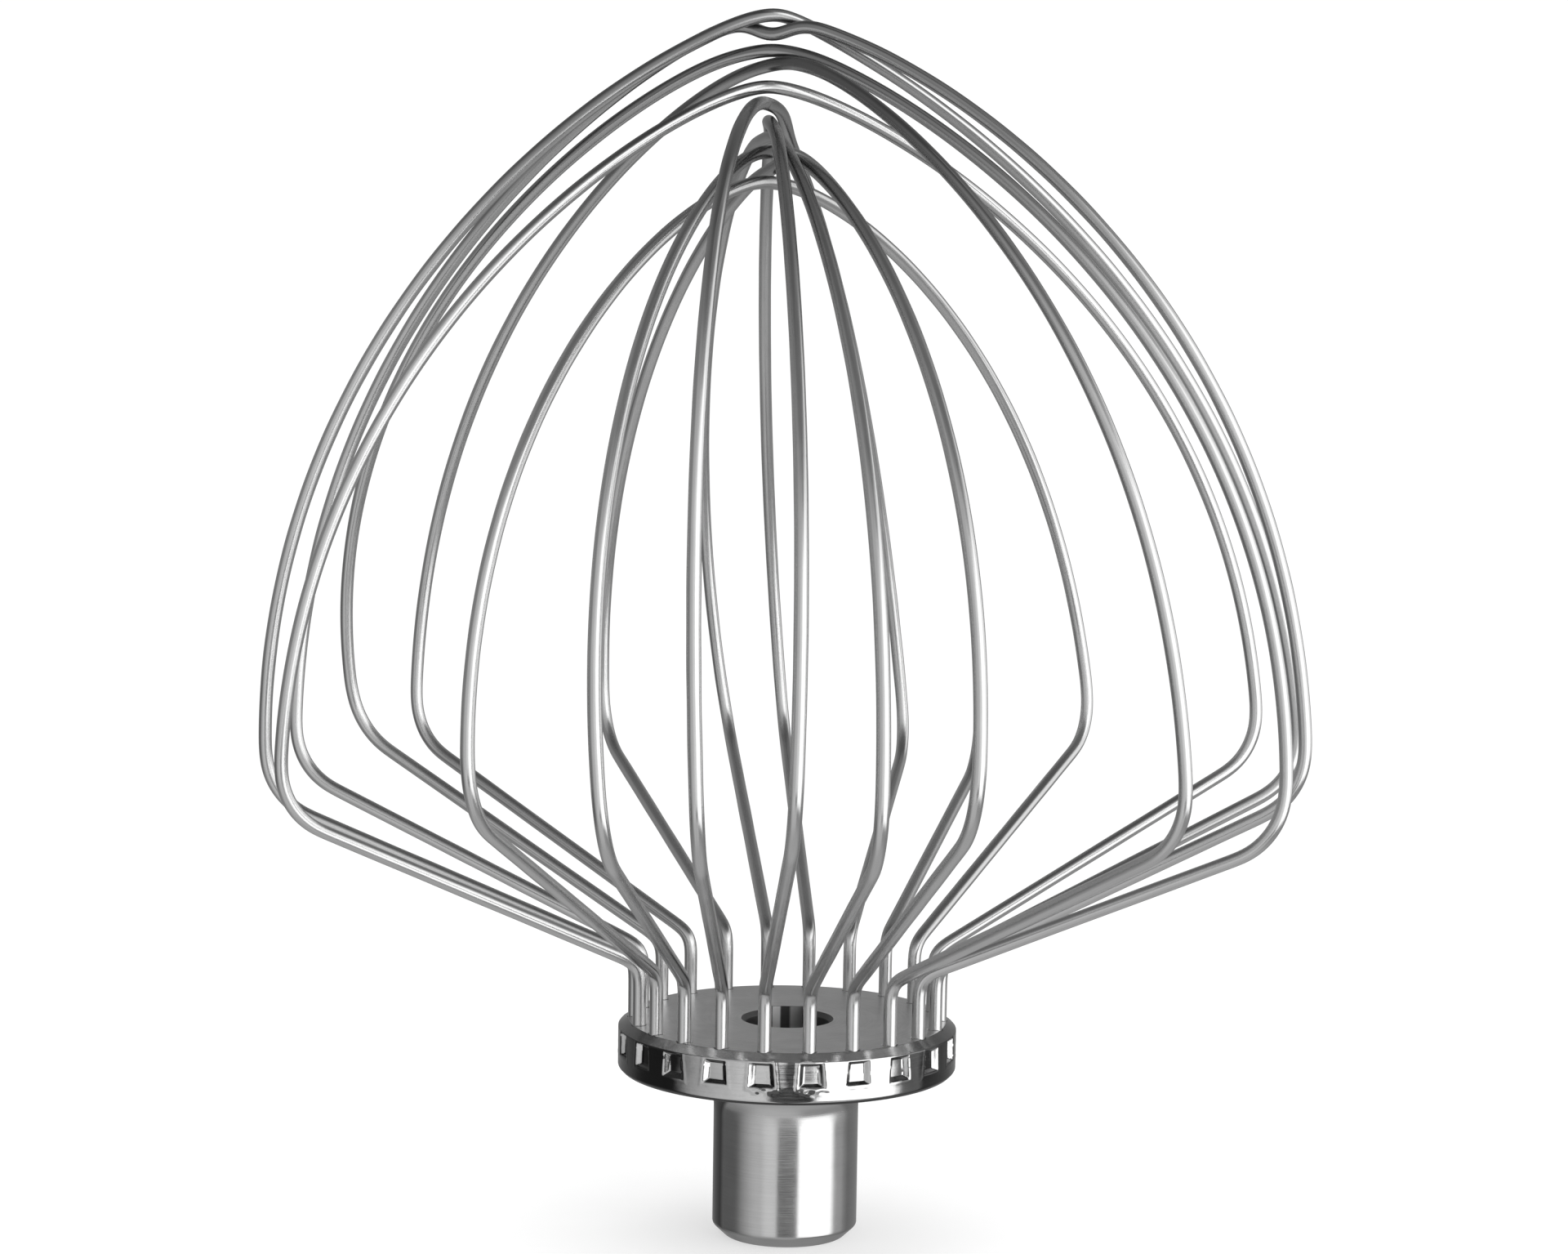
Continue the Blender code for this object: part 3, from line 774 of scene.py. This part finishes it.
def hub_material(name):
    """Fine turned steel: closely spaced rings round the sleeve, and faint blotches, with a painted
    reflection of dark cards at the sides of the front.
    """
    made, nodes, shader = new_material(name, metallic=1.0)
    coord = nodes.coord("Object")
    x, y, z = nodes.split(coord)
    ring_place = nodes.vector(
        x=nodes.times(z, 5200.0), y=nodes.times(nodes.azimuth(x, y), 0.7), z=0.0)
    rings = nodes.noise(ring_place, Scale=1.0, Detail=4.0, Roughness=0.65)
    blotch = nodes.noise(coord, Scale=220.0, Detail=4.0)
    # painted reflection: the base colour is darkened where it would mirror dark cards at both
    # sides of the front; the bottom end keeps one middle painted shade
    mirrored, _ = nodes.reflection()
    painted_card_shade = nodes.times(nodes.fade(mirrored, start=-128.0, end=-114.0, low=0.12),
                       nodes.fade(mirrored, start=104.0, end=122.0, low=1.0, high=0.62))
    painted_card_shade = nodes.math("MAXIMUM", painted_card_shade, nodes.fade(y, start=0.0, end=0.004))
    lowest = {"start": 0.0016, "end": 0.0024}
    painted_card_shade = nodes.math("MAXIMUM", painted_card_shade, nodes.fade(z, **lowest, low=0.62, high=0.0))
    painted_card_shade = nodes.math("MINIMUM", painted_card_shade, nodes.fade(z, **lowest, low=0.66))
    blend = nodes.plus(nodes.times(rings, 0.5), nodes.times(blotch, 0.5))
    flare_rough = nodes.fade(z, start=0.0180, end=0.0215, low=0.10, high=0.26)
    nodes.connect(shader, {
        "Base Color": nodes.darkened(nodes.ramp(blend, [(0.3, 0.58), (0.7, 0.68)]), painted_card_shade),
        "Roughness": nodes.plus(flare_rough, nodes.times(blotch, 0.08)),
        "Anisotropic": 0.5,
        "Tangent": nodes.add("ShaderNodeTangent", direction_type="RADIAL", axis="Z").outputs[0],
        "Normal": nodes.bump(rings, Strength=0.06, Distance=0.0001),
    })
    return made


# --- pieces -----------------------------------------------------------------------------
def install(piece, replaced):
    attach(piece, "root")
    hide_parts(replaced)


lines = [smoothed(evenly(line, LINE_POINTS)) for line in make_room(centre_lines())]
for number, line in enumerate(lines):
    loop = f"wire_loop_{number + 1:02d}"
    surface = wire_material("polished_" + loop, number)
    install(sweep_wire(loop + "_look", line, surface, seed=number + 1), loop)
install(build_flange(disc_material("polished_flange")), "holder_flange")
install(build_hub(hub_material("turned_hub")), "hub_sleeve")


# --- studio -------------------------------------------------------------------------------
PAPER = 1.05
ROOM = 0.30
# Flats and soft boxes, in degrees. Later ones stand in front of earlier ones.
FLATS = (
    # azimuth from, to, softness of both; height from, to, softness of both; brightness
    (-400, 400, 1, 1, 48, 200, 40, 1, 0.18),        # dark ceiling
    (-400, 400, 1, 1, -200, -45, 1, 40, 0.50),      # table
    (-400, -60, 1, 40, -40, 60, 30, 30, 0.28),      # left wall
    (-62, 25, 36, 1, -60, 52, 30, 40, 0.62),        # pale wall behind the camera
    (-14, 30, 30, 1, -12, 44, 3, 36, 0.95),         # its bright middle
    (-400, -124, 1, 14, -30, 48, 10, 16, 0.30),     # wall at the back left
    (-124, -79, 14, 16, -24, -4, 8, 20, 0.13),      # low dark flat at the left
    (-35, -12, 12, 1.5, -24, -11, 6, 3, 0.82),      # low pale flat left of the camera
    (-12, 21, 1.5, 1.5, -21, -12.6, 4, 1.5, 0.14),  # camera and stand
    (122, 400, 24, 1, -30, 60, 16, 30, 0.32),       # dark wall at the back right
    (80, 124, 3, 20, -9, 38, 5, 16, 1.15),          # second soft box
    (82, 104, 3, 3, -24, -9, 6, 5, 0.42),           # low flat under it
    (21, 82, 1.5, 12, -24, 42, 8, 14, 1.8),         # main soft box
)


def build_world():
    """The studio lights and is mirrored by everything. The camera sees white paper."""
    world = bpy.data.worlds.new("studio")
    world.use_nodes = True
    world.node_tree.nodes.clear()
    nodes = Nodes(world.node_tree)
    x, y, z = nodes.split(nodes.coord("Generated"))
    azimuth = nodes.times(nodes.azimuth(x, y), 1 / DEG)
    height = nodes.times(nodes.math("ARCSINE", z), 1 / DEG)

    def step(value, middle, soft):
        return nodes.fade(value, start=middle - soft / 2, end=middle + soft / 2)

    def window(value, low, high, soft_low, soft_high):
        return nodes.times(step(value, low, soft_low),
                           nodes.minus(1.0, step(value, high, soft_high)))

    light = ROOM
    for *edges, brightness in FLATS:
        mask = nodes.times(window(azimuth, *edges[:4]), window(height, *edges[4:]))
        light = nodes.plus(light, nodes.times(mask, nodes.minus(brightness, light)))
    white = (1, 1, 1, 1)
    studio = nodes.add("ShaderNodeBackground", {"Color": white, "Strength": light})
    paper = nodes.add("ShaderNodeBackground", {"Color": white, "Strength": PAPER})
    camera_ray = nodes.add("ShaderNodeLightPath").outputs["Is Camera Ray"]
    mixed = nodes.add("ShaderNodeMixShader", {
        0: camera_ray, 1: studio.outputs[0], 2: paper.outputs[0]})
    nodes.add("ShaderNodeOutputWorld", {"Surface": mixed.outputs[0]})
    bpy.context.scene.world = world


def floor_material(name):
    made, nodes, shader = new_material(name, metallic=0.0)
    coord = nodes.coord("Object")
    grain = nodes.noise(coord, Scale=40.0, Detail=3.0)
    nodes.connect(shader, {
        "Base Color": nodes.ramp(grain, [(0.3, 0.90), (0.7, 0.93)]),
        "Roughness": 0.9,
        "Specular IOR Level": 0.0,
    })
    # paper takes over from 50 mm out and is all there is from 300 mm
    length = nodes.add("ShaderNodeVectorMath", {0: coord}, operation="LENGTH").outputs["Value"]
    far = nodes.math("DIVIDE", nodes.minus(length, 0.05), 0.25, clamp=True)
    paper = nodes.add("ShaderNodeEmission", {"Color": (1, 1, 1, 1), "Strength": PAPER})
    paper_share = nodes.plus(0.55, nodes.times(far, 0.45))
    mixed = nodes.add("ShaderNodeMixShader", {
        0: paper_share, 1: shader.outputs[0], 2: paper.outputs[0]})
    nodes.connect(nodes.tree.nodes["Material Output"], {"Surface": mixed.outputs[0]})
    return made


def build_floor():
    """A pale table top that fades into the white paper behind it."""
    half = 4000.0
    corners = [(-half, -half, 0), (half, -half, 0), (half, half, 0), (-half, half, 0)]
    floor = mesh_object("floor", corners, [(0, 1, 2, 3)], floor_material("pale_floor"))
    floor.visible_glossy = False


def build_lights():
    """A wide overhead soft light, hidden from reflections: the steel mirrors the studio."""
    data = bpy.data.lights.new("overhead", "AREA")
    data.shape = "SQUARE"
    data.size = 3.0
    data.energy = 62.0
    lamp = bpy.data.objects.new("overhead", data)
    lamp.location = (0.0, 0.3, 1.9)
    lamp.visible_glossy = False
    bpy.context.scene.collection.objects.link(lamp)


def build_camera():
    tilt, roll = CAM_ELEVATION * DEG, CAM_ROLL * DEG
    place = np.array([0, -CAM_DISTANCE * np.cos(tilt), CAM_AIM_Z + CAM_DISTANCE * np.sin(tilt)])
    forward = np.array([0, np.cos(tilt), -np.sin(tilt)])
    level, up = np.array([1, 0, 0]), np.array([0, np.sin(tilt), np.cos(tilt)])
    right = np.cos(roll) * level + np.sin(roll) * up
    upward = -np.sin(roll) * level + np.cos(roll) * up
    matrix = Matrix.Identity(4)
    for i in range(3):
        matrix[i] = (right[i], upward[i], -forward[i], place[i] * MM)
    data = bpy.data.cameras.new("camera")
    data.sensor_width = CAM_SENSOR
    data.lens = CAM_LENS
    data.shift_x = CAM_SHIFT
    data.clip_start = 0.05
    camera = bpy.data.objects.new("camera", data)
    camera.matrix_world = matrix
    bpy.context.scene.collection.objects.link(camera)
    bpy.context.scene.camera = camera


build_world()
build_floor()
build_lights()
build_camera()
bpy.context.scene.view_settings.view_transform = "Standard"

bpy.context.view_layer.update()
